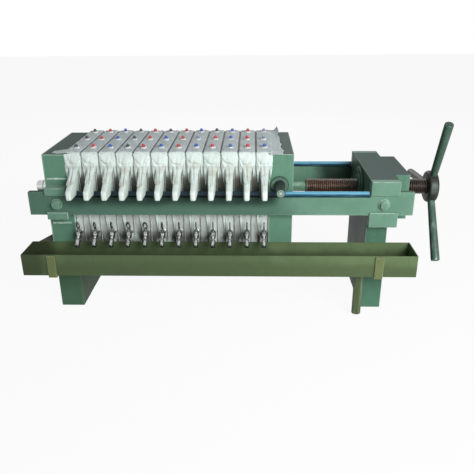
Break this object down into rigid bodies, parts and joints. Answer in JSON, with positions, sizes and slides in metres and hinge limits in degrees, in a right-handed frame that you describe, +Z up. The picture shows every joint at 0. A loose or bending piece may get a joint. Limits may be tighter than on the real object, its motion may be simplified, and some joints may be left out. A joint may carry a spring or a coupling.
{
  "type": "plate and frame filter press",
  "caption": "Hand-screwed filter press: white cloth-covered plates between a fixed and a moving head on two side rails, with drain cocks and a collecting tray.",
  "frame": {"origin": "on the floor, at the middle of the foot of the fixed head's leg", "axes": "+X along the press towards the closing handle, +Y from the front (tray side) to the back, +Z up"},
  "size_m": [1.9884, 0.7832, 0.9008],
  "materials": {
    "frame_paint": "satin grey-green paint, chipped and oily at the edges",
    "bar_blue": "glossy blue coat on a round bar",
    "plate_plastic": "moulded white polypropylene, scuffed",
    "frame_plastic": "moulded white polypropylene, stained",
    "filter_cloth": "woven white filter cloth with faint beige stains",
    "chromed": "bright plating with dark oily marks",
    "roller_steel": "turned steel with worn green paint",
    "screw_steel": "oily brown steel",
    "handle_steel": "dark green paint, worn to bright steel where it is held",
    "tray_paint": "olive green paint with water stains"
  },
  "bodies": {
    "press_frame": {"fixed_head": "frame_paint", "fixed_head_leg": "frame_paint", "feed_pipe": "chromed", "front_rail": "frame_paint", "rear_rail": "frame_paint", "front_slide_bar": "bar_blue", "rear_slide_bar": "bar_blue", "crosshead": "frame_paint", "crosshead_leg": "frame_paint", "screw_nut": "frame_paint", "upper_rail_keepers": "frame_paint", "lower_rail_keepers": "frame_paint", "rail_pins": "frame_paint", "filter_plates": "plate_plastic", "filter_frames": "frame_plastic", "filter_cloths": "filter_cloth", "cock_bodies": "chromed", "collecting_tray": "tray_paint", "tray_drain_pipe": "tray_paint", "tray_brackets": "tray_paint", "tray_gusset": "tray_paint"},
    "moving_head": {"moving_head": "frame_paint", "thrust_collar": "frame_paint", "roller_axles": "roller_steel"},
    "front_roller": {"front_roller": "roller_steel"},
    "rear_roller": {"rear_roller": "roller_steel"},
    "screw": {"screw_spindle": "screw_steel", "handle_hub": "handle_steel", "handle_arms": "handle_steel"},
    "cock_key_01": {"cock_key_01": "chromed"},
    "cock_key_02": {"cock_key_02": "chromed"},
    "cock_key_03": {"cock_key_03": "chromed"},
    "cock_key_04": {"cock_key_04": "chromed"},
    "cock_key_05": {"cock_key_05": "chromed"},
    "cock_key_06": {"cock_key_06": "chromed"},
    "cock_key_07": {"cock_key_07": "chromed"},
    "cock_key_08": {"cock_key_08": "chromed"},
    "cock_key_09": {"cock_key_09": "chromed"},
    "cock_key_10": {"cock_key_10": "chromed"},
    "cock_key_11": {"cock_key_11": "chromed"},
    "cock_key_12": {"cock_key_12": "chromed"}
  },
  "joints": [
    {"name": "screw_turn", "type": "hinge", "parent": "moving_head", "child": "screw", "pos_m": [1.0864, 0, 0.552], "axis": [1, 0, 0], "range_deg": [0, 9000]},
    {"name": "head_slide", "type": "slide", "parent": "press_frame", "child": "moving_head", "axis": [1, 0, 0], "range_m": [0, 0.25]},
    {"name": "front_roller_turn", "type": "hinge", "parent": "moving_head", "child": "front_roller", "pos_m": [1.0244, -0.262, 0.6313], "axis": [0, 1, 0], "range_deg": [0, 651.59]},
    {"name": "rear_roller_turn", "type": "hinge", "parent": "moving_head", "child": "rear_roller", "pos_m": [1.0244, 0.262, 0.6313], "axis": [0, 1, 0], "range_deg": [0, 651.59]},
    {"name": "cock_turn_01", "type": "hinge", "parent": "press_frame", "child": "cock_key_01", "pos_m": [0.0836, -0.2715, 0.4], "axis": [0, 0, 1], "range_deg": [0, 90]},
    {"name": "cock_turn_02", "type": "hinge", "parent": "press_frame", "child": "cock_key_02", "pos_m": [0.1628, -0.2715, 0.4], "axis": [0, 0, 1], "range_deg": [0, 90]},
    {"name": "cock_turn_03", "type": "hinge", "parent": "press_frame", "child": "cock_key_03", "pos_m": [0.242, -0.2715, 0.4], "axis": [0, 0, 1], "range_deg": [0, 90]},
    {"name": "cock_turn_04", "type": "hinge", "parent": "press_frame", "child": "cock_key_04", "pos_m": [0.3212, -0.2715, 0.4], "axis": [0, 0, 1], "range_deg": [0, 90]},
    {"name": "cock_turn_05", "type": "hinge", "parent": "press_frame", "child": "cock_key_05", "pos_m": [0.4004, -0.2715, 0.4], "axis": [0, 0, 1], "range_deg": [0, 90]},
    {"name": "cock_turn_06", "type": "hinge", "parent": "press_frame", "child": "cock_key_06", "pos_m": [0.4796, -0.2715, 0.4], "axis": [0, 0, 1], "range_deg": [0, 90]},
    {"name": "cock_turn_07", "type": "hinge", "parent": "press_frame", "child": "cock_key_07", "pos_m": [0.5588, -0.2715, 0.4], "axis": [0, 0, 1], "range_deg": [0, 90]},
    {"name": "cock_turn_08", "type": "hinge", "parent": "press_frame", "child": "cock_key_08", "pos_m": [0.638, -0.2715, 0.4], "axis": [0, 0, 1], "range_deg": [0, 90]},
    {"name": "cock_turn_09", "type": "hinge", "parent": "press_frame", "child": "cock_key_09", "pos_m": [0.7172, -0.2715, 0.4], "axis": [0, 0, 1], "range_deg": [0, 90]},
    {"name": "cock_turn_10", "type": "hinge", "parent": "press_frame", "child": "cock_key_10", "pos_m": [0.7964, -0.2715, 0.4], "axis": [0, 0, 1], "range_deg": [0, 90]},
    {"name": "cock_turn_11", "type": "hinge", "parent": "press_frame", "child": "cock_key_11", "pos_m": [0.8756, -0.2715, 0.4], "axis": [0, 0, 1], "range_deg": [0, 90]},
    {"name": "cock_turn_12", "type": "hinge", "parent": "press_frame", "child": "cock_key_12", "pos_m": [0.9548, -0.2715, 0.4], "axis": [0, 0, 1], "range_deg": [0, 90]}
  ],
  "couplings": [
    {"joint": "head_slide", "follows": "screw_turn", "m_per_rad": 0.0015915},
    {"joint": "front_roller_turn", "follows": "screw_turn", "ratio": 0.072343},
    {"joint": "rear_roller_turn", "follows": "screw_turn", "ratio": 0.072343}
  ]
}
